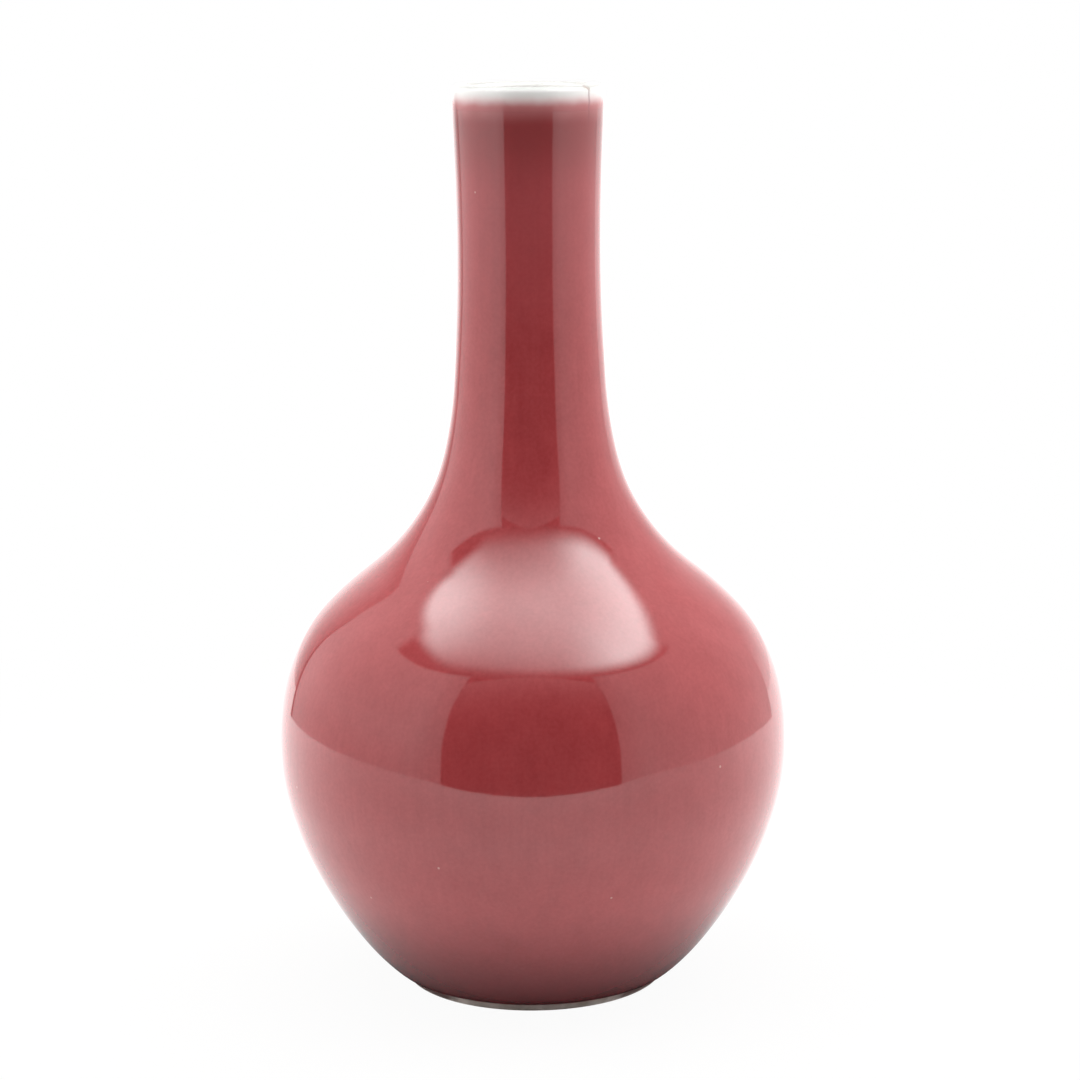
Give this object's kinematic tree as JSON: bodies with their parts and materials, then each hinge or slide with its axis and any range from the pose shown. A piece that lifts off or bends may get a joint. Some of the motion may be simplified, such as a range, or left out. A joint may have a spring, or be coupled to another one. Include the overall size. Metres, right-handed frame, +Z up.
{
  "type": "bottle vase",
  "caption": "Bottle vase with a globular body, sloping shoulder, tall waisted neck, white lip, copper-red glaze outside and white glaze inside, on a bare bevelled foot ring.",
  "frame": {"origin": "centre of the foot's resting face, on the vase's axis", "axes": "+Z up along the vase's axis from foot to lip; the vase is round, so +X and +Y are any two square directions"},
  "size_m": [0.1318, 0.1318, 0.23],
  "materials": {
    "biscuit_porcelain": "matte",
    "luting_slip": "matte",
    "copper_red_glaze": "gloss",
    "white_glaze": "gloss"
  },
  "bodies": {
    "root": {"foot_ring": "biscuit_porcelain", "lower_bowl": "biscuit_porcelain", "shoulder": "biscuit_porcelain", "neck": "biscuit_porcelain", "foot_slip_seam": "luting_slip", "belly_slip_seam": "luting_slip", "neck_slip_seam": "luting_slip", "red_glaze": "copper_red_glaze", "rim_glaze": "white_glaze", "liner_glaze": "white_glaze", "base_glaze": "white_glaze"}
  },
  "joints": []
}
